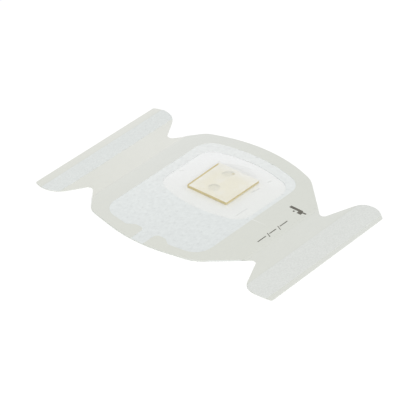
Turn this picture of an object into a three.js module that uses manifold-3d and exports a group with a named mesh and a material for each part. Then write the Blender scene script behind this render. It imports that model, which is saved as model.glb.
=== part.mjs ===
// Transparent film dressing: a gel pad under a clear film, with a soft cloth border,
// a carrier frame of paper with two winged ends, a tape strip on each wing, and release paper.
// Millimetres. X runs along the frame, Y across it, Z up. The release paper lies on Z = 0,
// and the origin is under the middle of the outline.

import * as THREE from 'three';
import { mergeVertices } from 'three/addons/utils/BufferGeometryUtils.js';
import Module from 'manifold-3d';

// Outline of the frame and the release paper. Each pair of corners, one above and one below the
// X axis, stands in from the end of the frame, and the upper one lies further right by twice the lean
const frameLength = 119.3;
const leftTip = { inset: 0.2, lean: 0.2, above: 34.3, below: 35.5, radius: 1.0 };
const rightTip = { inset: 0.3, lean: -0.3, above: 32.5, below: 36.1, radius: 1.0 };
const leftShoulder = { inset: 8.7, lean: 0.1, above: 38.8, below: 39.1, radius: 10 };
const rightShoulder = { inset: 11.7, lean: 0.6, above: 40.4, below: 37.3, radius: 7 };
const leftNeck = { inset: 19.0, lean: 0.1, above: 20.3, below: 22.7, radius: 2.1 };
const rightNeck = { inset: 19.6, lean: 0.6, above: 17.2, below: 19.7, radius: 1.7 };
const leftFlank = { inset: 29.1, lean: 0, above: 33.7, below: 35.8, radius: 8 };
const rightFlank = { inset: 37.8, lean: 0.2, above: 34.8, below: 35.8, radius: 14 };
const bodyMiddle = -4.1;
const bodyTop = 44.8;
const bodyBottom = 41.6;
const bodyRadius = 65;

// Opening of the frame, with a gap below it between two rounded fingers
const openingMiddle = -3.1;
const openingWidth = 49.0;
const openingTop = 29.5;
const openingTopRise = 7.1;
const openingTopRadius = 68;
const openingBottom = 32.1;
const openingBottomFall = 3.6;
const openingCorner = 8.0;
const openingTopCorner = 9.0;
const gapMiddle = -3.3;
const gapWidth = 6.1;
const fingerWidth = 4.4;
const fingerHeight = 2.2;
const fingerRadius = 2.0;
const fingerRootRun = 3.1;
const fingerRootRadius = 1.5;

// Window in the cloth, in which the clear film shows
const windowMiddle = -2.0;
const windowWidth = 42.8;
const windowTop = 25.7;
const windowTopRise = 5.1;
const windowBottom = 4.3;
const windowBottomFall = 6.0;
const windowBowRadius = 50;
const windowCorner = 7.5;

// Film, pad and tape
const filmWidth = 70;
const padSide = 20;
const padCorner = 0.7;
const padMiddleX = -2.4;
const padMiddleY = 10.2;
const padTurn = 1.2;
const skirtRun = 1.6;
const filmEase = 0.05;
const leftTapeInset = 4.0;
const leftTapeWidth = 7.8;
const rightTapeInset = 2.0;
const rightTapeWidth = 11.2;

// Thicknesses, and the run of the frame's slope down to the wings
const linerThickness = 0.12;
const filmThickness = 0.1;
const clothThickness = 0.2;
const frameThickness = 0.2;
const tapeThickness = 0.15;
const padThickness = 1.45;
const slopeClearance = 0.3;
const slopeRun = 1.2;

// Steps along each rounded corner, how much of a short side its two arcs may take,
// and how far a cutting solid runs past what it cuts
const cornerSteps = 12;
const roundedShare = 0.98;
const overrun = 5;

const halfLength = frameLength / 2;
const stackOnLiner = filmThickness + clothThickness;
const halfSpan = Math.max(bodyTop, bodyBottom);

const wasm = await Module();
wasm.setup();

function toSolid(geometry) {
  const plain = geometry.clone();
  plain.deleteAttribute('normal');
  plain.deleteAttribute('uv');
  const merged = mergeVertices(plain);
  return new wasm.Manifold(new wasm.Mesh({
    numProp: 3,
    vertProperties: new Float32Array(merged.attributes.position.array),
    triVerts: new Uint32Array(merged.index.array),
  }));
}

function toGeometry(solid) {
  const mesh = solid.getMesh();
  const geometry = new THREE.BufferGeometry();
  geometry.setAttribute('position', new THREE.BufferAttribute(mesh.vertProperties, 3));
  geometry.setIndex(new THREE.BufferAttribute(mesh.triVerts, 1));
  geometry.computeVertexNormals();
  return geometry;
}

// Closed shape through corners [x, y, radius]. Each is rounded by an arc that meets both of its
// sides, and arcs that would meet on a short side shrink to leave a stretch of it between them.
function roundedShape(corners) {
  const count = corners.length;
  const tips = corners.map(([x, y]) => new THREE.Vector2(x, y));
  const sides = tips.map((tip, i) => tips[(i + 1) % count].clone().sub(tip));
  const turns = sides.map((side, i) => sides.at(i - 1).angleTo(side));
  const reaches = corners.map(([, , radius], i) => radius * Math.tan(turns[i] / 2));
  const shares = sides.map((side, i) => {
    const needed = reaches[i] + reaches[(i + 1) % count];
    return Math.min(1, roundedShare * side.length() / needed);
  });
  const points = corners.flatMap(([, , fullRadius], i) => {
    if (fullRadius === 0) return [tips[i]];
    const scale = Math.min(shares.at(i - 1), shares[i]);
    const radius = fullRadius * scale;
    const before = sides.at(i - 1).clone().normalize();
    const after = sides[i].clone().normalize();
    const left = before.cross(after) > 0 ? 1 : -1;
    const inward = new THREE.Vector2(-before.y, before.x).multiplyScalar(left);
    const start = tips[i].clone().addScaledVector(before, -reaches[i] * scale);
    const centre = start.clone().addScaledVector(inward, radius);
    const startAngle = inward.clone().negate().angle();
    const arc = new THREE.EllipseCurve(
      centre.x, centre.y, radius, radius, startAngle, startAngle + left * turns[i], left < 0,
    );
    return arc.getPoints(cornerSteps);
  });
  return new THREE.Shape(points);
}

function extrude(shape, depth, options = {}) {
  return new THREE.ExtrudeGeometry(shape, { depth, bevelEnabled: false, ...options });
}

// A solid of the shape that runs past the stack above and below, to cut or trim sheets with
function through(shape) {
  const geometry = extrude(shape, padThickness + 2 * overrun);
  geometry.translate(0, 0, -overrun);
  return toSolid(geometry);
}

function rectangle(left, right, bottom, top) {
  const shape = new THREE.Shape();
  shape.moveTo(left, bottom);
  shape.lineTo(right, bottom);
  shape.lineTo(right, top);
  shape.lineTo(left, top);
  shape.closePath();
  return shape;
}

function frameOutline() {
  const leftEnd = (corner) => ({ ...corner, x: corner.inset - halfLength });
  const rightEnd = (corner) => ({ ...corner, x: halfLength - corner.inset });
  const pairs = [
    rightEnd(rightTip),
    rightEnd(rightShoulder),
    rightEnd(rightNeck),
    rightEnd(rightFlank),
    { x: bodyMiddle, lean: 0, above: bodyTop, below: bodyBottom, radius: bodyRadius },
    leftEnd(leftFlank),
    leftEnd(leftNeck),
    leftEnd(leftShoulder),
    leftEnd(leftTip),
  ];
  const upper = pairs.map(({ x, lean, above, radius }) => [x + lean, above, radius]);
  const lower = pairs.map(({ x, lean, below, radius }) => [x - lean, -below, radius]).reverse();
  return roundedShape([...upper, ...lower]);
}

// The opening and its gap, which runs out past the lower edge of the outline
function frameOpening() {
  const halfWidth = openingWidth / 2;
  const halfGap = gapWidth / 2;
  const fingerEnd = halfGap + fingerWidth;
  const root = fingerEnd + fingerRootRun;
  const rootDrop = openingBottomFall * (1 - root / halfWidth);
  const rootHeight = -openingBottom - rootDrop;
  const crown = rootHeight + fingerHeight;
  const side = (way) => [
    [gapMiddle + way * halfGap, -halfSpan, 0],
    [gapMiddle + way * halfGap, crown, fingerRadius],
    [gapMiddle + way * fingerEnd, crown, fingerRadius],
    [gapMiddle + way * root, rootHeight, fingerRootRadius],
    [openingMiddle + way * halfWidth, -openingBottom, openingCorner],
    [openingMiddle + way * halfWidth, openingTop, openingTopCorner],
  ];
  const top = [openingMiddle, openingTop + openingTopRise, openingTopRadius];
  return roundedShape([...side(1), top, ...side(-1).reverse()]);
}

function clothWindow() {
  const left = windowMiddle - windowWidth / 2;
  const right = windowMiddle + windowWidth / 2;
  return roundedShape([
    [right, -windowBottom, windowCorner],
    [right, windowTop, windowCorner],
    [windowMiddle, windowTop + windowTopRise, windowBowRadius],
    [left, windowTop, windowCorner],
    [left, -windowBottom, windowCorner],
    [windowMiddle, -windowBottom - windowBottomFall, windowBowRadius],
  ]);
}

function padOutline(margin) {
  const half = padSide / 2 + margin;
  const radius = padCorner + margin;
  return roundedShape([[half, -half, radius], [half, half, radius], [-half, half, radius], [-half, -half, radius]]);
}

// The space under the film where it rises over the pad: the pad's outline at the top, a skirt below
function tent(margin, height) {
  const geometry = extrude(padOutline(margin), overrun, {
    bevelEnabled: true,
    bevelThickness: height,
    bevelSize: skirtRun,
    bevelSegments: 1,
  });
  geometry.translate(0, 0, -overrun);
  geometry.rotateZ(THREE.MathUtils.degToRad(padTurn));
  geometry.translate(padMiddleX, padMiddleY, 0);
  return toSolid(geometry);
}

const outline = frameOutline();
const outlineSolid = through(outline);
const filmBand = rectangle(-filmWidth / 2, filmWidth / 2, -halfSpan, halfSpan);

function releaseLiner() {
  return extrude(outline, linerThickness);
}

function gelPad() {
  return extrude(padOutline(0), padThickness);
}

// A clear sheet that lies on the release paper and rises over the pad
function transparentFilm() {
  const sheet = toSolid(extrude(filmBand, filmThickness)).intersect(outlineSolid);
  const aboveLiner = toSolid(extrude(filmBand, padThickness + overrun));
  const cover = tent(filmThickness + filmEase, padThickness + filmThickness).intersect(aboveLiner);
  return toGeometry(sheet.add(cover).subtract(tent(filmEase, padThickness)));
}

function softClothBorder() {
  const sheet = toSolid(extrude(filmBand, clothThickness)).intersect(outlineSolid);
  return toGeometry(sheet.subtract(through(clothWindow())));
}

// A card sheet seen from its edge: level over the cloth, then down to the release paper on the wings
function frameProfile() {
  const bodyEdge = filmWidth / 2 + slopeClearance;
  const wingEdge = bodyEdge + slopeRun;
  const top = [
    [halfLength + overrun, frameThickness],
    [wingEdge, frameThickness],
    [bodyEdge, stackOnLiner + frameThickness],
    [-bodyEdge, stackOnLiner + frameThickness],
    [-wingEdge, frameThickness],
    [-halfLength - overrun, frameThickness],
  ];
  const bottom = top.map(([x, z]) => [x, z - frameThickness]).reverse();
  return new THREE.Shape([...top, ...bottom].map(([x, z]) => new THREE.Vector2(x, z)));
}

function paperFrame() {
  const geometry = extrude(frameProfile(), 2 * halfSpan);
  geometry.translate(0, 0, -halfSpan);
  geometry.rotateX(Math.PI / 2);
  return toGeometry(toSolid(geometry).intersect(outlineSolid).subtract(through(frameOpening())));
}

function tapeStrip(left, right) {
  const strip = rectangle(left, right, -halfSpan, halfSpan);
  return toGeometry(toSolid(extrude(strip, tapeThickness)).intersect(outlineSolid));
}

const paperWhite = new THREE.MeshStandardMaterial({ color: 0xf2f3f0, roughness: 0.75, metalness: 0 });
const framePaper = new THREE.MeshStandardMaterial({ color: 0xdddfd8, roughness: 0.8, metalness: 0 });
const cloth = new THREE.MeshStandardMaterial({ color: 0xe2e6e5, roughness: 0.9, metalness: 0 });
const tape = new THREE.MeshStandardMaterial({ color: 0xdfe3df, roughness: 0.9, metalness: 0 });
const gel = new THREE.MeshStandardMaterial({ color: 0xe0dcc4, roughness: 0.35, metalness: 0 });
const clearFilm = new THREE.MeshStandardMaterial({
  color: 0xf4f6f5,
  roughness: 0.2,
  metalness: 0,
  transparent: true,
  opacity: 0.35,
});

const dressing = new THREE.Group();

function place(name, geometry, material, level, x = 0, y = 0) {
  const mesh = new THREE.Mesh(geometry, material);
  mesh.name = name;
  mesh.position.set(x, y, level);
  dressing.add(mesh);
  return mesh;
}

place('release_liner', releaseLiner(), paperWhite, 0);
const pad = place('gel_pad', gelPad(), gel, linerThickness, padMiddleX, padMiddleY);
pad.rotation.z = THREE.MathUtils.degToRad(padTurn);
place('transparent_film', transparentFilm(), clearFilm, linerThickness);
place('soft_cloth_border', softClothBorder(), cloth, linerThickness + filmThickness);
place('paper_frame', paperFrame(), framePaper, linerThickness);

const tapeLevel = linerThickness + frameThickness;
const leftTapeEdge = leftTapeInset - halfLength;
const rightTapeEdge = halfLength - rightTapeInset;
place('left_tape_strip', tapeStrip(leftTapeEdge, leftTapeEdge + leftTapeWidth), tape, tapeLevel);
place('right_tape_strip', tapeStrip(rightTapeEdge - rightTapeWidth, rightTapeEdge), tape, tapeLevel);

export default dressing;
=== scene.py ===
import math

import bmesh
import bpy
import numpy as np
from mathutils import Matrix, Vector


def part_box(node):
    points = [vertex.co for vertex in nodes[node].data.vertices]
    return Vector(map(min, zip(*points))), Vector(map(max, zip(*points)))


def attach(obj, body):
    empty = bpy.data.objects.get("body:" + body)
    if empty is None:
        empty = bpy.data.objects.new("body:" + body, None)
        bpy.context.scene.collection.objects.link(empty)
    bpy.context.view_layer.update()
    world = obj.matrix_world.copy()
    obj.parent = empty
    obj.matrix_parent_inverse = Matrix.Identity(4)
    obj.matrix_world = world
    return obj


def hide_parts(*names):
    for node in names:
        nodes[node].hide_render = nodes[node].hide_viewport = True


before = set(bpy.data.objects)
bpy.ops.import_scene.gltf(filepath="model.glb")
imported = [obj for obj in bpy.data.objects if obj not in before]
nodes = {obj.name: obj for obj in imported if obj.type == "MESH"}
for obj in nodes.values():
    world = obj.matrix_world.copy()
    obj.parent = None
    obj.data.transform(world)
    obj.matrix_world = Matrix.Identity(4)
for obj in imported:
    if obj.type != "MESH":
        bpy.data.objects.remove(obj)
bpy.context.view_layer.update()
mm = 0.001
mergeDistance = 0.0005 * mm
cutterStretch = 60
# degrees from -Y to +X of the direction in which a painted shade darkens the tones across the dressing
paintedShadeTurn = 40


# Camera: the photo looks down on the dressing from its lower right

camera = {
    "azimuth": 39.96,
    "elevation": 35.0,
    "roll": 0.14,
    "distance": 1.128,
    "target": (2.95 * mm, -5.24 * mm, 0),
    "lens": 252.3,
    "nearest": 0.01,
}


def addCamera():
    azimuth = math.radians(camera["azimuth"])
    elevation = math.radians(camera["elevation"])
    back = Vector((
        math.sin(azimuth) * math.cos(elevation),
        -math.cos(azimuth) * math.cos(elevation),
        math.sin(elevation),
    ))
    right = Vector((math.cos(azimuth), math.sin(azimuth), 0))
    up = back.cross(right)
    roll = Matrix.Rotation(math.radians(camera["roll"]), 3, "Z")
    turn = Matrix((right, up, back)).transposed() @ roll
    place = Vector(camera["target"]) + back * camera["distance"]
    data = bpy.data.cameras.new("camera")
    data.lens = camera["lens"]
    data.clip_start = camera["nearest"]
    seen = bpy.data.objects.new("camera", data)
    seen.matrix_world = Matrix.Translation(place) @ turn.to_4x4()
    bpy.context.scene.collection.objects.link(seen)
    bpy.context.scene.camera = seen


addCamera()
print("camera placed")


# Small helpers for meshes

def deselectAll():
    bpy.ops.object.select_all(action="DESELECT")


def activate(piece):
    deselectAll()
    piece.hide_set(False)
    piece.select_set(True)
    bpy.context.view_layer.objects.active = piece


def editAll(piece):
    activate(piece)
    bpy.ops.object.mode_set(mode="EDIT")
    bpy.ops.mesh.select_all(action="SELECT")


def leaveEdit():
    bpy.ops.object.mode_set(mode="OBJECT")


def selectFaces(piece, wanted):
    mesh = bmesh.from_edit_mesh(piece.data)
    mesh.select_mode = {"FACE"}
    for face in mesh.faces:
        face.select_set(wanted(face))
    mesh.select_flush_mode()
    bmesh.update_edit_mesh(piece.data)


def corners(piece):
    places = np.zeros(len(piece.data.vertices) * 3)
    piece.data.vertices.foreach_get("co", places)
    return places.reshape(-1, 3)


def moveCorners(piece, places):
    piece.data.vertices.foreach_set("co", places.ravel())
    piece.data.update()


def addSheetGrid(name, low, high, level, cell):
    # a flat grid of about square cells, from low to high in X and Y, at one height
    width, length = high[0] - low[0], high[1] - low[1]
    deselectAll()
    bpy.ops.mesh.primitive_grid_add(
        x_subdivisions=round(width / cell[0]),
        y_subdivisions=round(length / cell[1]),
        size=1,
        location=(0, 0, 0),
    )
    piece = bpy.context.active_object
    piece.name = piece.data.name = name
    editAll(piece)
    bpy.ops.transform.resize(value=(width, length, 1), center_override=(0, 0, 0))
    bpy.ops.transform.translate(value=((low[0] + high[0]) / 2, (low[1] + high[1]) / 2, level))
    leaveEdit()
    return piece


def extrudeDown(piece, floorLevel):
    # gives an open sheet a flat underside at floorLevel
    editAll(piece)
    bpy.ops.mesh.extrude_region_move(TRANSFORM_OT_translate={"value": (0, 0, -1 * mm)})
    bpy.ops.transform.resize(value=(1, 1, 0), center_override=(0, 0, floorLevel))
    bpy.ops.mesh.select_all(action="SELECT")
    bpy.ops.mesh.normals_make_consistent(inside=False)
    leaveEdit()


def copyNode(nodeName, name):
    # the CAD node's mesh is loose triangles, so a copy of it is merged first
    piece = bpy.data.objects.new(name, nodes[nodeName].data.copy())
    piece.data.name = name
    piece.data.materials.clear()
    bpy.context.scene.collection.objects.link(piece)
    editAll(piece)
    bpy.ops.mesh.remove_doubles(threshold=mergeDistance)
    leaveEdit()
    return piece


def trim(piece, nodeName):
    # keeps what lies in the outline of a flat CAD node, stretched well past it above and below
    cutter = copyNode(nodeName, "cutter")
    low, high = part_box(nodeName)
    editAll(cutter)
    bpy.ops.transform.resize(value=(1, 1, cutterStretch), center_override=(0, 0, (low.z + high.z) / 2))
    leaveEdit()
    before = len(piece.data.vertices)
    activate(piece)
    cut = piece.modifiers.new("cut", "BOOLEAN")
    cut.object = cutter
    cut.operation = "INTERSECT"
    cut.solver = "MANIFOLD"
    bpy.ops.object.modifier_apply(modifier=cut.name)
    bpy.data.objects.remove(cutter)
    print("  cut", piece.name, before, "to", len(piece.data.vertices), "corners")


def smoothBy(piece, degrees):
    activate(piece)
    bpy.ops.object.shade_smooth_by_angle(angle=math.radians(degrees))


# Small helpers for materials

def tone(red, green, blue):
    # a colour as read on screen, 0 to 255, as Blender's linear values
    def linear(value):
        value /= 255
        return value / 12.92 if value <= 0.04045 else ((value + 0.055) / 1.055) ** 2.4

    return (linear(red), linear(green), linear(blue), 1)


class Shader:
    def __init__(self, name, roughness):
        self.material = bpy.data.materials.new(name)
        self.material.use_nodes = True
        self.tree = self.material.node_tree
        self.surface = self.tree.nodes["Principled BSDF"]
        self.surface.inputs["Roughness"].default_value = roughness
        self.place = self.node("ShaderNodeTexCoord")
        self.split = self.node("ShaderNodeSeparateXYZ", Vector=self.place.outputs["Object"])

    def node(self, kind, settings=None, **inputs):
        made = self.tree.nodes.new(kind)
        for key, value in (settings or {}).items():
            setattr(made, key, value)
        for key, value in inputs.items():
            self.feed(made.inputs[key.replace("_", " ")], value)
        return made

    def feed(self, socket, value):
        if isinstance(value, bpy.types.NodeSocket):
            self.tree.links.new(value, socket)
        else:
            socket.default_value = value

    def math(self, operation, first, second=0.0):
        made = self.node("ShaderNodeMath", {"operation": operation})
        self.feed(made.inputs[0], first)
        self.feed(made.inputs[1], second)
        return made.outputs[0]

    def range(self, value, fromLow, fromHigh, toLow=0.0, toHigh=1.0, smooth=False):
        made = self.node("ShaderNodeMapRange", {"interpolation_type": "SMOOTHSTEP" if smooth else "LINEAR"})
        names = ("Value", "From Min", "From Max", "To Min", "To Max")
        for name, given in zip(names, (value, fromLow, fromHigh, toLow, toHigh)):
            self.feed(made.inputs[name], given)
        return made.outputs[0]

    def noise(self, size, detail=2.0, stretch=(1, 1, 1), turn=0.0):
        # size is the width of a spot in metres, stretch makes the spots longer along an axis
        spot = self.node(
            "ShaderNodeMapping",
            Vector=self.place.outputs["Object"],
            Rotation=(0, 0, math.radians(turn)),
            Scale=tuple(1 / s for s in stretch),
        )
        made = self.node("ShaderNodeTexNoise", Vector=spot.outputs[0], Scale=1 / size, Detail=detail)
        return made.outputs["Fac"]

    def towards(self, turn):
        # metres along a level line that is turned by so many degrees from -Y to +X
        acrossX = self.math("MULTIPLY", self.split.outputs["X"], math.sin(math.radians(turn)))
        acrossY = self.math("MULTIPLY", self.split.outputs["Y"], math.cos(math.radians(turn)))
        return self.math("SUBTRACT", acrossX, acrossY)

    def facing(self, axis):
        # how far the surface faces along X, Y or Z, up to 1
        return self.node("ShaderNodeSeparateXYZ", Vector=self.place.outputs["Normal"]).outputs[axis]

    def ramp(self, value, stops):
        # stops are (place in millimetres, colour from 0 to 255), in rising order
        low, high = stops[0][0] * mm, stops[-1][0] * mm
        made = self.node("ShaderNodeValToRGB", Fac=self.range(value, low, high))
        band = made.color_ramp
        while len(band.elements) < len(stops):
            band.elements.new(0.5)
        for element, (place, colour) in zip(band.elements, stops):
            element.position = (place * mm - low) / (high - low)
            element.color = tone(*colour)
        return made.outputs["Color"]

    def mix(self, amount, first, second, blend="MIX"):
        made = self.node("ShaderNodeMix", {"data_type": "RGBA", "blend_type": blend})
        self.feed(made.inputs[0], amount)
        self.feed(made.inputs[6], first)
        self.feed(made.inputs[7], second)
        return made.outputs[2]

    def shade(self, colour, factor):
        # makes a colour lighter or darker by a grey factor around 1
        grey = self.node("ShaderNodeCombineXYZ", X=factor, Y=factor, Z=factor)
        return self.mix(1.0, colour, grey.outputs[0], "MULTIPLY")

    def bump(self, height, depth, strength):
        made = self.node("ShaderNodeBump", Height=height, Distance=depth, Strength=strength)
        self.feed(self.surface.inputs["Normal"], made.outputs[0])

    def paint(self, piece):
        piece.data.materials.clear()
        piece.data.materials.append(self.material)


# Release paper: smooth, coated, almost white

linerPaper = {
    "stops": [
        (-32, (244, 245, 245)),
        (-16, (241.5, 242.5, 241.5)),
        (0, (236.5, 238, 235.5)),
        (24, (234.5, 236.5, 234)),
    ],
    "edge": (216, 218, 211),
    "roughness": 0.5,
    "fibres": {"size": 0.9 * mm, "detail": 4.0, "stretch": (3, 1, 1), "turn": 30},
    "fibreShade": (0.988, 1.0),
    "clouds": {"size": 11 * mm, "detail": 2.0},
    "cloudShade": (0.993, 1.004),
    "relief": (0.01 * mm, 0.4),
}


def makeLinerPaper():
    paper = Shader("smoothReleasePaper", linerPaper["roughness"])
    fibres = paper.noise(**linerPaper["fibres"])
    clouds = paper.noise(**linerPaper["clouds"])
    # the ramp darkens the paper towards +X and -Y as a painted shade
    colour = paper.ramp(paper.towards(paintedShadeTurn), linerPaper["stops"])
    colour = paper.shade(colour, paper.range(fibres, 0.3, 0.7, *linerPaper["fibreShade"]))
    colour = paper.shade(colour, paper.range(clouds, 0.3, 0.7, *linerPaper["cloudShade"]))
    colour = paper.mix(paper.range(paper.facing("Z"), 0.7, 0.3), colour, tone(*linerPaper["edge"]))
    paper.feed(paper.surface.inputs["Base Color"], colour)
    paper.bump(fibres, *linerPaper["relief"])
    paper.paint(nodes["release_liner"])
    print("release paper painted")


makeLinerPaper()


# Gel pad: a soft square block with rounded edges, pale on top, deeper yellow where seen from its edge

gelPad = {
    "cornerRadius": 0.45 * mm,
    "edgeRadius": 0.18 * mm,
    "turn": 1.2,
    "askew": 0.28 * mm,
    "smoothing": 40,
    "roughness": 0.35,
    "top": (235, 231.5, 214),
    "pale": (240, 239, 232),
    "side": (205, 188, 128),
    "foot": (232, 226, 205),
    "clouds": {"size": 4 * mm, "detail": 4.0},
    "palerLeft": 0.55,
    "palerBack": 0.85,
    "palerClouds": 0.45,
    "paintedShade": {"from": -8 * mm, "to": 3 * mm, "shade": 0.966},
    "farLine": {"solid": 0.7 * mm, "soft": 1.05 * mm},
    "footPaintedLight": {"from": -0.7 * mm, "to": -0.4 * mm, "amount": 0.85, "highlightOnX": 0.36 * mm},
    "spot": {"place": (-3.0, 17.3), "size": (0.95, 0.5), "turn": 40},
    "relief": (0.05 * mm, 0.3),
}


def makeGelPad():
    low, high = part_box("gel_pad")
    middle = (low + high) / 2
    turn = math.radians(gelPad["turn"])
    # the node's box is that of the turned square
    side = (high.x - low.x) / (math.cos(turn) + math.sin(turn))
    deselectAll()
    bpy.ops.mesh.primitive_cube_add(size=1, location=(0, 0, 0))
    piece = bpy.context.active_object
    piece.name = piece.data.name = "gel_block"
    editAll(piece)
    bpy.ops.transform.resize(value=(side, side, high.z - low.z), center_override=(0, 0, 0))
    bpy.ops.mesh.select_all(action="DESELECT")
    mesh = bmesh.from_edit_mesh(piece.data)
    mesh.select_mode = {"EDGE"}
    for edge in mesh.edges:
        edge.select_set(abs(edge.verts[0].co.z - edge.verts[1].co.z) > 0.1 * mm)
    bmesh.update_edit_mesh(piece.data)
    bpy.ops.mesh.bevel(offset=gelPad["cornerRadius"], segments=5)
    selectFaces(piece, lambda face: abs(face.normal.z) > 0.9)
    bpy.ops.mesh.bevel(offset=gelPad["edgeRadius"], segments=3)
    leaveEdit()
    places = corners(piece)
    # the +X side is cut a little askew
    places[:, 0] += gelPad["askew"] * np.clip(places[:, 0] / side + 0.5, 0, 1) * 2 * places[:, 1] / side
    c, s = math.cos(turn), math.sin(turn)
    places = places @ np.array([[c, s, 0], [-s, c, 0], [0, 0, 1]])
    moveCorners(piece, places + np.array(middle))
    smoothBy(piece, gelPad["smoothing"])
    paintGel(piece, middle, side)
    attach(piece, "root")
    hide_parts("gel_pad")
    print("gel pad made")


def paintGel(piece, middle, side):
    gel = Shader("softYellowGel", gelPad["roughness"])
    x = gel.math("SUBTRACT", gel.split.outputs["X"], middle.x)
    y = gel.math("SUBTRACT", gel.split.outputs["Y"], middle.y)
    clouds = gel.noise(**gelPad["clouds"])
    # paler towards the -X and +Y sides and in soft clouds
    paleX = gel.range(x, -0.25 * side, -0.5 * side, 0, gelPad["palerLeft"], True)
    paleY = gel.range(y, 0.2 * side, 0.5 * side, 0, gelPad["palerBack"], True)
    paleClouds = gel.range(clouds, 0.5, 0.7, 0, gelPad["palerClouds"])
    paleness = gel.math("ADD", gel.math("MAXIMUM", paleX, paleY), paleClouds)
    colour = gel.mix(paleness, tone(*gelPad["top"]), tone(*gelPad["pale"]))
    # the top is painted darker towards the front right corner as a painted shade
    paintedShade = gelPad["paintedShade"]
    shade = gel.range(gel.towards(paintedShadeTurn), paintedShade["from"], paintedShade["to"], 1.0, paintedShade["shade"], True)
    colour = gel.shade(colour, shade)
    # the -X side shines through the gel as a thin yellow line along the edge
    tilted = gel.math("ADD", x, gel.math("MULTIPLY", y, math.radians(gelPad["turn"])))
    width = gelPad["farLine"]
    line = gel.range(tilted, width["solid"] - 0.5 * side, width["soft"] - 0.5 * side, 1, 0, True)
    line = gel.math("MULTIPLY", line, gel.range(y, 0.42 * side, 0.47 * side, 1, 0))
    colour = gel.mix(line, colour, tone(*gelPad["side"]))
    spot = gelPad["spot"]
    near = gel.node(
        "ShaderNodeMapping",
        {"vector_type": "TEXTURE"},
        Vector=gel.place.outputs["Object"],
        Location=(spot["place"][0] * mm, spot["place"][1] * mm, middle.z),
        Rotation=(0, 0, math.radians(spot["turn"])),
        Scale=(spot["size"][0] * mm, spot["size"][1] * mm, 1),
    )
    away = gel.node("ShaderNodeVectorMath", {"operation": "LENGTH"})
    gel.feed(away.inputs[0], near.outputs[0])
    brown = gel.range(away.outputs["Value"], 0.4, 1.0, 0.9, 0.0, True)
    colour = gel.mix(brown, colour, tone(*gelPad["side"]))
    # the sides are deep yellow and are painted paler towards the table as painted light, reaching higher on
    # the +X side as a painted highlight
    foot = gelPad["footPaintedLight"]
    height = gel.math("SUBTRACT", gel.split.outputs["Z"], middle.z)
    onX = gel.range(gel.facing("X"), 0.6, 0.9, 0, foot["highlightOnX"])
    paling = gel.range(gel.math("SUBTRACT", height, onX), foot["from"], foot["to"], foot["amount"], 0, True)
    flank = gel.mix(paling, tone(*gelPad["side"]), tone(*gelPad["foot"]))
    colour = gel.mix(gel.range(gel.facing("Z"), 0.75, 0.35), colour, flank)
    gel.feed(gel.surface.inputs["Base Color"], colour)
    gel.bump(clouds, *gelPad["relief"])
    gel.paint(piece)


makeGelPad()


# Film: clear, stretched over the pad with a skirt round it, a tented fold behind it, small creases
# and two bubbles. Its shape is worked out in millimetres, so the lengths without mm here are those.

film = {
    "cell": 0.7 * mm,
    "reach": 1.5 * mm,
    "fineFrom": (-25 * mm, -10 * mm),
    "fineTo": (21 * mm, 31 * mm),
    "clearance": 0.012 * mm,
    "thickness": 0.02 * mm,
    "shelf": 0.45,
    "skirt": 1.6,
    "skirtCurve": 1.2,
    "skirtHazeAndShade": 0.1,
    "tentFoot": [
        (-9.9, 10.3),
        (-8.7, 12.5),
        (-6.2, 13.8),
        (-3.5, 14.9),
        (-1.0, 15.6),
        (2.5, 15.7),
        (6.5, 15.0),
        (9.4, 12.6),
        (10, 10.4),
    ],
    "tentCurve": 1.6,
    "tentHazeAndShade": 0.42,
    "footShadow": 0.4,
    "footWidth": 0.4,
    "ridges": [(-4.0, 0.9), (0.5, 0.8), (4.4, 1.0)],
    "ridgeHeight": 0.06,
    "creases": [
        ((9.15, 12.5), (10.0, 18.2), 0.04, 0.18),
        ((14.8, -3.1), (14.9, 4.9), 0.03, 0.18),
        ((9.7, 22.9), (10.2, 25.1), 0.04, 0.2),
        ((-22.2, 6.6), (-20.75, 8.25), 0.03, 0.18),
        ((-15.5, 6.1), (-14.3, 10.1), 0.02, 0.18),
    ],
    "plainCrease": 0.045,
    "bubbles": [((-4.5, 16.1), 3.2, 2.1), ((-2.8, 5.2), 3.0, 2.8)],
    "bubbleTurn": 40,
    "bubbleHeight": 0.1,
    "smoothing": 50,
    "roughness": 0.22,
    "colour": (241, 242, 241),
    "liftedAndShadedColour": (204, 207, 203),
    "clearAlpha": 0.05,
    "liftedAlpha": 0.22,
    "streaks": {"size": 2.2 * mm, "detail": 3.0, "stretch": (1, 4, 1), "turn": 12},
    "streakShade": (0.97, 1.02),
    "relief": (0.03 * mm, 0.5),
}


def segmentDistance(x, y, start, end):
    # distance from a straight stretch, and the place along it from 0 to 1
    ax, ay = start
    runX, runY = end[0] - ax, end[1] - ay
    along = np.clip(((x - ax) * runX + (y - ay) * runY) / (runX ** 2 + runY ** 2), 0, 1)
    return np.hypot(x - ax - along * runX, y - ay - along * runY), along


def smoothStep(value):
    value = np.clip(value, 0, 1)
    return value * value * (3 - 2 * value)


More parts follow.
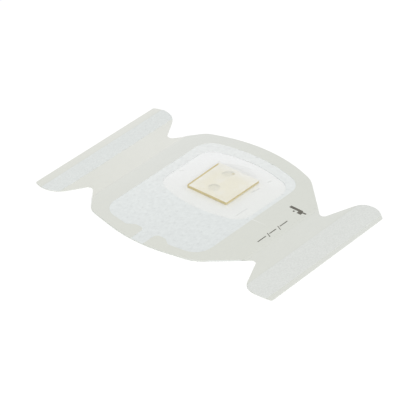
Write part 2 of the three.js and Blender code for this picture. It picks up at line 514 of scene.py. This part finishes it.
def filmShape(places):
    # rise above the release paper, how far the film is painted grey, partly as haze where it is lifted and
    # partly as painted shade, and how far it belongs to a bubble
    low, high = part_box("gel_pad")
    turn = math.radians(gelPad["turn"])
    half = (high.x - low.x) / (math.cos(turn) + math.sin(turn)) / 2 / mm + film["shelf"]
    rise = (high.z - low.z) / mm
    x, y = places[:, 0] / mm, places[:, 1] / mm
    cx, cy = (low.x + high.x) / 2 / mm, (low.y + high.y) / 2 / mm
    # u and v run along the sides of the turned pad
    u = (x - cx) * math.cos(turn) + (y - cy) * math.sin(turn)
    v = (y - cy) * math.cos(turn) - (x - cx) * math.sin(turn)
    # skirt: flat over the pad, then down to the release paper
    away = np.hypot(np.maximum(np.abs(u) - half, 0), np.maximum(np.abs(v) - half, 0))
    skirt = np.clip(1 - away / film["skirt"], 0, 1)
    height = rise * skirt ** film["skirtCurve"]
    # the skirt's slope is painted a little grey, partly as haze and partly as painted shade
    liftedAndShaded = np.where(away > 0, skirt, 0) * film["skirtHazeAndShade"]
    # tented fold behind the pad, with low ridges, painted grey partly as haze of the lifted film and partly
    # as painted shade on its slope, greyest at the pad, with a painted shadow along its foot
    foot = film["tentFoot"]
    footV = np.interp(u, [p[0] for p in foot], [p[1] for p in foot], left=0, right=0)
    edge = np.min([segmentDistance(u, v, start, end)[0] for start, end in zip(foot, foot[1:])], axis=0)
    inside = (v > half) & (v < footV)
    t = np.clip((v - half) / np.maximum(footV - half, 0.01), 0, 1)
    tent = rise * (1 - t) ** film["tentCurve"]
    for place, width in film["ridges"]:
        ridge = np.exp(-(((u - place * (1 + 0.5 * t)) / width) ** 2))
        tent += film["ridgeHeight"] * ridge * 4 * t * (1 - t)
    height = np.maximum(height, np.where(inside, tent, 0))
    footLine = np.exp(-((edge / film["footWidth"]) ** 2)) * smoothStep((5 - u) / 6)
    hazeAndShade = film["tentHazeAndShade"] * (1 - t * t) + film["footShadow"] * footLine
    liftedAndShaded = np.maximum(liftedAndShaded, np.where(inside, hazeAndShade * smoothStep((11 - u) / 8), 0))
    # creases: start, end, height and width of each, painted grey along them partly as haze and partly as
    # painted shade, the low ones fainter
    for start, end, tall, width in film["creases"]:
        away, along = segmentDistance(x, y, start, end)
        ridge = np.exp(-((away / width) ** 2)) * smoothStep(np.minimum(along, 1 - along) / 0.15)
        height += tall * ridge
        liftedAndShaded = np.maximum(liftedAndShaded, ridge * min(1, tall / film["plainCrease"]))
    # bubbles: centre and half the width and length of each, painted grey partly as haze, with a painted
    # shade darkest along the rear rim
    bubble = np.zeros(len(x))
    turn = math.radians(film["bubbleTurn"])
    c, s = math.cos(turn), math.sin(turn)
    for (bx, by), wide, long in film["bubbles"]:
        across = ((x - bx) * c + (y - by) * s) / wide
        back = ((y - by) * c - (x - bx) * s) / long
        r = np.hypot(across, back)
        height += film["bubbleHeight"] * np.clip(1 - r * r, 0, 1)
        rim = smoothStep((r - 0.2) / 0.5) * smoothStep(back + 0.3)
        bubble = np.maximum(bubble, smoothStep((1 - r) / 0.35) * (0.35 + 0.55 * rim))
    return height * mm, liftedAndShaded, bubble


def makeFilm():
    low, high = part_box("transparent_film")
    reach = Vector((film["reach"], film["reach"], 0))
    bottom = low.z + film["clearance"]
    top = bottom + film["thickness"]
    piece = addSheetGrid("clear_film", low - reach, high + reach, top, (film["cell"], film["cell"]))
    editAll(piece)

    def isFine(face):
        spot = face.calc_center_median()
        (left, front), (right, back) = film["fineFrom"], film["fineTo"]
        return left < spot.x < right and front < spot.y < back

    selectFaces(piece, isFine)
    bpy.ops.mesh.subdivide(number_cuts=1)
    leaveEdit()
    extrudeDown(piece, bottom)
    places = corners(piece)
    places[:, 2] += filmShape(places)[0]
    moveCorners(piece, places)
    trim(piece, "release_liner")
    bandTrim(piece, low, high)
    smoothBy(piece, film["smoothing"])
    liftedAndShaded, bubble = filmShape(corners(piece))[1:]
    for name, values in (("liftedAndShaded", liftedAndShaded), ("bubble", bubble)):
        piece.data.attributes.new(name, "FLOAT", "POINT").data.foreach_set("value", values)
    paintFilm(piece)
    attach(piece, "root")
    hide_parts("transparent_film")
    print("film made")


def bandTrim(piece, low, high):
    # trims the two long sides of the film to its width
    for side in (low.x, high.x):
        outward = -1 if side < 0 else 1
        editAll(piece)
        bpy.ops.mesh.bisect(
            plane_co=(side, 0, 0),
            plane_no=(outward, 0, 0),
            use_fill=True,
            clear_outer=True,
        )
        leaveEdit()


def paintFilm(piece):
    clear = Shader("clearFilm", film["roughness"])
    liftedAndShaded = clear.node("ShaderNodeAttribute", {"attribute_name": "liftedAndShaded"}).outputs["Fac"]
    bubble = clear.node("ShaderNodeAttribute", {"attribute_name": "bubble"}).outputs["Fac"]
    # where lifted the film is painted grey, partly for its haze and partly as painted shade on slopes,
    # creases and bubble rims
    either = clear.math("MAXIMUM", liftedAndShaded, bubble)
    colour = clear.mix(either, tone(*film["colour"]), tone(*film["liftedAndShadedColour"]))
    streaks = clear.noise(**film["streaks"])
    colour = clear.shade(colour, clear.range(streaks, 0.3, 0.7, *film["streakShade"]))
    clear.feed(clear.surface.inputs["Base Color"], colour)
    alpha = clear.range(either, 0, 1, film["clearAlpha"], film["liftedAlpha"])
    clear.feed(clear.surface.inputs["Alpha"], alpha)
    clear.bump(streaks, *film["relief"])
    clear.paint(piece)


makeFilm()


# Cloth border: soft nonwoven with rows of small embossed pits, one in every 8 by 4 cells and one
# halfway between

clothBorder = {
    "cell": (1.0 * mm, 1.1 * mm),
    "pitRows": (8, 4),
    "pitInset": 0.24 * mm,
    "pitDepth": 0.12 * mm,
    "roughen": 0.02 * mm,
    "seed": 4,
    "reach": 2 * mm,
    "smoothing": 50,
    "roughness": 0.9,
    "gloss": 0.2,
    "pitPaintedShade": 0.93,
    "outerEdge": (216, 219, 213),
    "outerEdgeFrom": (32 * mm, 33 * mm),
    "stops": [
        (-32, (232.5, 235, 233.8)),
        (-15, (230.7, 233.8, 232.7)),
        (0, (227.8, 231.6, 230.6)),
        (32, (223, 227, 226)),
    ],
    "threads": {"size": 0.42 * mm, "detail": 3.0, "stretch": (1, 5, 1)},
    "threadTurns": (-38, 12, 55),
    "threadShade": (0.972, 1.04),
    "blots": {"size": 1.5 * mm, "detail": 2.0},
    "blotShade": (0.975, 1.02),
    "relief": (0.08 * mm, 0.5),
}


def makeClothBorder():
    low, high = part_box("soft_cloth_border")
    reach = Vector((clothBorder["reach"], clothBorder["reach"], 0))
    start = low - reach
    cellX, cellY = clothBorder["cell"]
    stepX, stepY = clothBorder["pitRows"]
    piece = addSheetGrid("soft_cloth", start, high + reach, high.z, clothBorder["cell"])
    editAll(piece)
    bpy.ops.transform.vertex_random(offset=clothBorder["roughen"], uniform=0.5, seed=clothBorder["seed"])

    def isPit(face):
        spot = face.calc_center_median() - start
        column, row = int(spot.x / cellX), int(spot.y / cellY)
        onRow = column % stepX == 0 and row % stepY == 0
        between = column % stepX == stepX // 2 and row % stepY == stepY // 2
        return onRow or between

    selectFaces(piece, isPit)
    inset, depth = clothBorder["pitInset"], clothBorder["pitDepth"]
    bpy.ops.mesh.inset(thickness=inset, depth=-depth, use_individual=True)
    leaveEdit()
    activate(piece)
    soften = piece.modifiers.new("soften", "SUBSURF")
    soften.levels = soften.render_levels = 1
    bpy.ops.object.modifier_apply(modifier=soften.name)
    # pressed down onto the thin film
    extrudeDown(piece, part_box("transparent_film")[0].z + film["clearance"] + film["thickness"])
    trim(piece, "soft_cloth_border")
    smoothBy(piece, clothBorder["smoothing"])
    paintCloth(piece, high.z)
    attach(piece, "root")
    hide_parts("soft_cloth_border")
    print("cloth border made")


def paintCloth(piece, top):
    cloth = Shader("softNonwoven", clothBorder["roughness"])
    # the ramp darkens the cloth towards +X and -Y as a painted shade
    colour = cloth.ramp(cloth.towards(paintedShadeTurn), clothBorder["stops"])
    threads = [cloth.noise(**clothBorder["threads"], turn=turn) for turn in clothBorder["threadTurns"]]
    weave = cloth.math("MAXIMUM", cloth.math("MAXIMUM", threads[0], threads[1]), threads[2])
    blots = cloth.noise(**clothBorder["blots"])
    colour = cloth.shade(colour, cloth.range(weave, 0.45, 0.75, *clothBorder["threadShade"]))
    colour = cloth.shade(colour, cloth.range(blots, 0.35, 0.65, *clothBorder["blotShade"]))
    # the pits are painted darker with depth, a painted shade in the recesses
    pitFloor = top - clothBorder["pitDepth"]
    pits = cloth.range(cloth.split.outputs["Z"], pitFloor, top, clothBorder["pitPaintedShade"], 1.0)
    cutEdge = cloth.range(cloth.facing("Z"), 0.5, 0.2, 0.0, 1.0)
    colour = cloth.shade(colour, cloth.math("MAXIMUM", pits, cutEdge))
    # cut edges on the outline are greyer than those round the window
    outer = cloth.range(cloth.math("ABSOLUTE", cloth.split.outputs["Y"]), *clothBorder["outerEdgeFrom"])
    colour = cloth.mix(cloth.math("MULTIPLY", outer, cutEdge), colour, tone(*clothBorder["outerEdge"]))
    cloth.feed(cloth.surface.inputs["Base Color"], colour)
    cloth.bump(weave, *clothBorder["relief"])
    cloth.surface.inputs["Specular IOR Level"].default_value = clothBorder["gloss"]
    cloth.paint(piece)


makeClothBorder()


# Paper frame: the CAD outline with softened cut edges and a fine white nick beside the opening.
# Its tones run along X and darken towards +X as a painted shade. The narrow bands at 35 to 37 mm even out
# the shading of the short slopes, and the dark bands at -56 and 46 mm are painted shadow lines beside the
# tapes.

paperFrame = {
    "edgeSoftness": 0.04 * mm,
    "smoothing": 10,
    "roughness": 0.75,
    "nick": {
        "starts": 20.4 * mm,
        "fades": 21.4 * mm,
        "ends": 29.0 * mm,
        "y": -0.75 * mm,
        "lean": 0.05,
        "width": 0.2 * mm,
        "colour": (238, 239, 236),
    },
    "stops": [
        (-59.8, (224.8, 225.8, 219.8)),
        (-56.5, (224.3, 225.5, 219.6)),
        (-55.9, (219.5, 221.2, 215.5)),
        (-55.4, (224.3, 225.5, 219.6)),
        (-36.6, (225.6, 226.4, 220.0)),
        (-36.5, (230.6, 231.4, 225.4)),
        (-35.3, (228.6, 229.8, 224.8)),
        (-35.2, (222.0, 223.8, 218.8)),
        (-26.0, (220.2, 222.0, 217.0)),
        (2.0, (217.6, 219.6, 212.6)),
        (35.2, (215.8, 217.8, 210.6)),
        (35.3, (212.2, 214.2, 207.2)),
        (36.5, (213.0, 215.0, 208.6)),
        (36.6, (217.4, 219.4, 213.6)),
        (45.6, (217.6, 219.6, 213.8)),
        (46.3, (214.5, 216.6, 210.5)),
        (46.8, (218.4, 220.4, 214.9)),
        (59.8, (218.4, 220.4, 215.0)),
    ],
    "warm": (216.4, 218.0, 209.4),
    "warmth": {"full": -38 * mm, "none": 10 * mm, "amount": 0.55},
    "outerEdge": (216, 218, 211),
    "innerEdge": (228, 230, 226),
    "opening": {"middleX": -3.1 * mm, "endsX": (25.5 * mm, 26 * mm), "endsY": (36 * mm, 37 * mm)},
    "fibres": {"size": 0.8 * mm, "detail": 4.0, "stretch": (1, 3.5, 1), "turn": -35},
    "fibreShade": (0.992, 1.008),
    "clouds": {"size": 9 * mm, "detail": 3.0},
    "cloudShade": (0.994, 1.006),
    "relief": (0.012 * mm, 0.4),
}


def makePaperFrame():
    piece = copyNode("paper_frame", "paper_carrier")
    editAll(piece)
    bpy.ops.mesh.dissolve_limited(angle_limit=math.radians(0.5))
    selectFaces(piece, lambda face: abs(face.normal.z) > 0.5)
    bpy.ops.mesh.region_to_loop()
    bpy.ops.mesh.bevel(offset=paperFrame["edgeSoftness"], segments=2)
    leaveEdit()
    smoothBy(piece, paperFrame["smoothing"])
    paintFrame(piece)
    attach(piece, "root")
    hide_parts("paper_frame")
    print("paper frame made")


def paintFrame(piece):
    paper = Shader("mattFramePaper", paperFrame["roughness"])
    x, y = paper.split.outputs["X"], paper.split.outputs["Y"]
    # the ramp along X holds a painted shade darkening towards +X and painted shadow lines beside the tapes
    colour = paper.ramp(x, paperFrame["stops"])
    # a little yellower towards the gap
    warmth = paperFrame["warmth"]
    warm = paper.range(y, warmth["full"], warmth["none"], warmth["amount"], 0.0)
    colour = paper.mix(warm, colour, tone(*paperFrame["warm"]))
    fibres = paper.noise(**paperFrame["fibres"])
    clouds = paper.noise(**paperFrame["clouds"])
    colour = paper.shade(colour, paper.range(fibres, 0.3, 0.7, *paperFrame["fibreShade"]))
    colour = paper.shade(colour, paper.range(clouds, 0.3, 0.7, *paperFrame["cloudShade"]))
    # the nick is a short line that leans a little and fades out towards +X
    nick = paperFrame["nick"]
    start = nick["y"] - nick["lean"] * nick["fades"]
    middle = paper.math("ADD", paper.math("MULTIPLY", x, nick["lean"]), start)
    away = paper.math("ABSOLUTE", paper.math("SUBTRACT", y, middle))
    line = paper.range(away, 0.5 * nick["width"], nick["width"], 0.9, 0.0)
    line = paper.math("MULTIPLY", line, paper.range(x, nick["fades"], nick["ends"], 1.0, 0.0))
    line = paper.math("MULTIPLY", line, paper.math("GREATER_THAN", x, nick["starts"]))
    colour = paper.mix(line, colour, tone(*nick["colour"]))
    # cut edges, paler round the opening than on the outline
    opening = paperFrame["opening"]
    fromMiddle = paper.math("ABSOLUTE", paper.math("SUBTRACT", x, opening["middleX"]))
    pastX = paper.range(fromMiddle, *opening["endsX"])
    pastY = paper.range(paper.math("ABSOLUTE", y), *opening["endsY"])
    outside = paper.math("MAXIMUM", pastX, pastY)
    cutEdge = paper.mix(outside, tone(*paperFrame["innerEdge"]), tone(*paperFrame["outerEdge"]))
    colour = paper.mix(paper.range(paper.facing("Z"), 0.8, 0.4), colour, cutEdge)
    paper.feed(paper.surface.inputs["Base Color"], colour)
    paper.bump(fibres, *paperFrame["relief"])
    paper.paint(piece)


makePaperFrame()


# Tape strips: speckled nonwoven with a torn edge on the +X side

tapeStrips = {
    "left": {
        "node": "left_tape_strip",
        "name": "narrow_tape",
        "colour": (222.6, 226.2, 224.4),
        "seed": 3,
        "torn": 0.35 * mm,
    },
    "right": {
        "node": "right_tape_strip",
        "name": "wide_tape",
        "colour": (219.8, 222.2, 218.6),
        "seed": 8,
        "torn": 0.12 * mm,
    },
    "cell": 0.4 * mm,
    "reach": 1 * mm,
    "lumps": 0.0175 * mm,
    "tornReach": 1.2 * mm,
    "tornMost": 1.7,
    "smoothing": 60,
    "roughness": 0.85,
    "gloss": 0.2,
    "paleTornEdge": {"none": 0.5 * mm, "full": 0.2 * mm, "shade": 1.03},
    "specks": {"size": 0.55 * mm, "detail": 3.0, "stretch": (1, 1.6, 1), "turn": 30},
    "speckShade": (0.955, 1.045),
    "grain": {"size": 1.7 * mm, "detail": 2.0, "stretch": (1, 1.4, 1), "turn": -30},
    "grainShade": (0.99, 1.01),
    "relief": (0.05 * mm, 0.5),
    "leastWidth": 10 * mm,
}


def makeTape(strip):
    low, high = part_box(strip["node"])
    cell = tapeStrips["cell"]
    reach = Vector((0, tapeStrips["reach"], 0))
    piece = addSheetGrid(strip["name"], low - reach, high + reach, high.z, (cell, cell))
    pick = np.random.default_rng(strip["seed"])
    places = corners(piece)
    rough = pick.normal(0, 1, len(places))
    places[:, 2] += np.clip(rough, -2, 1) * tapeStrips["lumps"]
    # the +X edge is torn: each row of corners ends a little short, and those behind it close up
    rows, row = np.unique(np.round(places[:, 1] / cell, 2), return_inverse=True)
    ragged = np.abs(pick.normal(0, 1, len(rows))).clip(0, tapeStrips["tornMost"]) * strip["torn"]
    behind = np.clip(1 - (high.x - places[:, 0]) / tapeStrips["tornReach"], 0, 1)
    places[:, 0] -= ragged[row.ravel()] * behind
    moveCorners(piece, places)
    extrudeDown(piece, low.z)
    trim(piece, "release_liner")
    smoothBy(piece, tapeStrips["smoothing"])
    paintTape(piece, strip, high.x)
    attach(piece, "root")
    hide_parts(strip["node"])
    # a sheet is declared at least 10 mm wide, with its real area
    print(strip["name"], "made")


def paintTape(piece, strip, edge):
    tape = Shader(strip["name"] + "Cloth", tapeStrips["roughness"])
    specks = tape.noise(**tapeStrips["specks"])
    grain = tape.noise(**tapeStrips["grain"])
    colour = tape.shade(tone(*strip["colour"]), tape.range(specks, 0.32, 0.68, *tapeStrips["speckShade"]))
    colour = tape.shade(colour, tape.range(grain, 0.35, 0.65, *tapeStrips["grainShade"]))
    # the torn edge is painted paler
    paleTornEdge = tapeStrips["paleTornEdge"]
    start, full = edge - paleTornEdge["none"], edge - paleTornEdge["full"]
    paling = tape.range(tape.split.outputs["X"], start, full, 1.0, paleTornEdge["shade"])
    colour = tape.shade(colour, paling)
    tape.feed(tape.surface.inputs["Base Color"], colour)
    tape.bump(specks, *tapeStrips["relief"])
    tape.surface.inputs["Specular IOR Level"].default_value = tapeStrips["gloss"]
    tape.paint(piece)


makeTape(tapeStrips["left"])
makeTape(tapeStrips["right"])


# Print: a plain date line and a plain mark, as thin ink on the frame

ink = {
    "thickness": 0.012 * mm,
    "colour": (104, 102, 94),
    "roughness": 0.8,
    "patches": {"size": 0.5 * mm, "detail": 2.0},
    "patchShade": (0.75, 1.25),
    "dashes": {"x": 32.4, "stretches": [(7.1, 2.5), (0.2, -3.8), (-6.0, -10.9)], "width": 0.46},
    "slashes": {"middles": [(32.85, 1.5), (32.7, -4.7)], "length": 2.7, "width": 0.34, "lean": -27},
    "bars": [
        ((30.1, 15.5), (6.0, 1.35)),
        ((34.1, 15.2), (2.0, 0.8)),
        ((32.7, 14.2), (2.0, 1.3)),
        ((30.2, 13.8), (0.8, 0.8)),
    ],
}


def addInk(name, plates):
    # plates are (centre, size, lean) in millimetres and degrees, each extruded up from a plane
    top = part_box("paper_frame")[1].z
    piece = None
    for (x, y), (wide, long), lean in plates:
        deselectAll()
        bpy.ops.mesh.primitive_plane_add(size=1, location=(0, 0, 0))
        plate = bpy.context.active_object
        editAll(plate)
        bpy.ops.transform.resize(value=(wide * mm, long * mm, 1), center_override=(0, 0, 0))
        bpy.ops.mesh.extrude_region_move(TRANSFORM_OT_translate={"value": (0, 0, ink["thickness"])})
        bpy.ops.mesh.select_all(action="SELECT")
        bpy.ops.mesh.normals_make_consistent(inside=False)
        leaveEdit()
        angle = math.radians(lean)
        c, s = math.cos(angle), math.sin(angle)
        turn = np.array([[c, s, 0], [-s, c, 0], [0, 0, 1]])
        moveCorners(plate, corners(plate) @ turn + np.array([x * mm, y * mm, top]))
        if piece is None:
            piece = plate
        else:
            activate(plate)
            piece.select_set(True)
            bpy.context.view_layer.objects.active = piece
            bpy.ops.object.join()
    piece.name = piece.data.name = name
    paintInk(piece)
    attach(piece, "root")
    print(name, "printed")


def paintInk(piece):
    black = Shader("drawnInk", ink["roughness"])
    patches = black.noise(**ink["patches"])
    colour = black.shade(tone(*ink["colour"]), black.range(patches, 0.3, 0.7, *ink["patchShade"]))
    black.feed(black.surface.inputs["Base Color"], colour)
    black.paint(piece)


def makePrint():
    dashes, slashes = ink["dashes"], ink["slashes"]
    plates = [((dashes["x"], (a + b) / 2), (dashes["width"], a - b), 0) for a, b in dashes["stretches"]]
    slashSize = (slashes["length"], slashes["width"])
    plates += [(middle, slashSize, slashes["lean"]) for middle in slashes["middles"]]
    addInk("date_line", plates)
    addInk("plain_mark", [(place, size, 0) for place, size in ink["bars"]])


makePrint()


# Studio: white floor, even white surroundings and one large, far soft lamp on the camera's side

studio = {
    "floorSize": 6.0,
    "floorLevel": -0.02 * mm,
    "floorGlow": 0.06,
    "surroundings": 0.70,
    "lampPower": 59.4,
    "lampPlace": (1.86, -1.56, 2.85),
    "lampSize": 2.1,
}


def addFloor():
    deselectAll()
    bpy.ops.mesh.primitive_plane_add(size=studio["floorSize"], location=(0, 0, studio["floorLevel"]))
    floor = bpy.context.active_object
    floor.name = "floor"
    white = Shader("whiteFloor", 1.0)
    white.surface.inputs["Base Color"].default_value = (1, 1, 1, 1)
    white.surface.inputs["Specular IOR Level"].default_value = 0.0
    rays = white.node("ShaderNodeLightPath")
    seen = white.math("MAXIMUM", rays.outputs["Is Camera Ray"], rays.outputs["Is Glossy Ray"])
    white.surface.inputs["Emission Color"].default_value = (1, 1, 1, 1)
    white.feed(white.surface.inputs["Emission Strength"], white.math("MULTIPLY", seen, studio["floorGlow"]))
    white.paint(floor)


def addWorld():
    world = bpy.data.worlds.new("surroundings")
    bpy.context.scene.world = world
    world.use_nodes = True
    tree = world.node_tree
    lighting = tree.nodes["Background"]
    lighting.inputs["Color"].default_value = (1, 1, 1, 1)
    lighting.inputs["Strength"].default_value = studio["surroundings"]
    backdrop = tree.nodes.new("ShaderNodeBackground")
    backdrop.inputs["Color"].default_value = (1, 1, 1, 1)
    backdrop.inputs["Strength"].default_value = 1.0
    rays = tree.nodes.new("ShaderNodeLightPath")
    seen = rays.outputs["Is Camera Ray"]
    for other in ("Is Glossy Ray", "Is Transmission Ray"):
        either = tree.nodes.new("ShaderNodeMath")
        either.operation = "MAXIMUM"
        tree.links.new(seen, either.inputs[0])
        tree.links.new(rays.outputs[other], either.inputs[1])
        seen = either.outputs[0]
    mix = tree.nodes.new("ShaderNodeMixShader")
    tree.links.new(seen, mix.inputs[0])
    tree.links.new(lighting.outputs[0], mix.inputs[1])
    tree.links.new(backdrop.outputs[0], mix.inputs[2])
    tree.links.new(mix.outputs[0], tree.nodes["World Output"].inputs["Surface"])


def addLamp():
    data = bpy.data.lights.new("softLamp", "AREA")
    data.energy = studio["lampPower"]
    data.size = studio["lampSize"]
    lamp = bpy.data.objects.new("softLamp", data)
    lamp.location = studio["lampPlace"]
    lamp.rotation_euler = (-lamp.location).to_track_quat("-Z", "Y").to_euler()
    bpy.context.scene.collection.objects.link(lamp)


addFloor()
addWorld()
addLamp()
bpy.context.scene.view_settings.view_transform = "Standard"
print("studio lit")
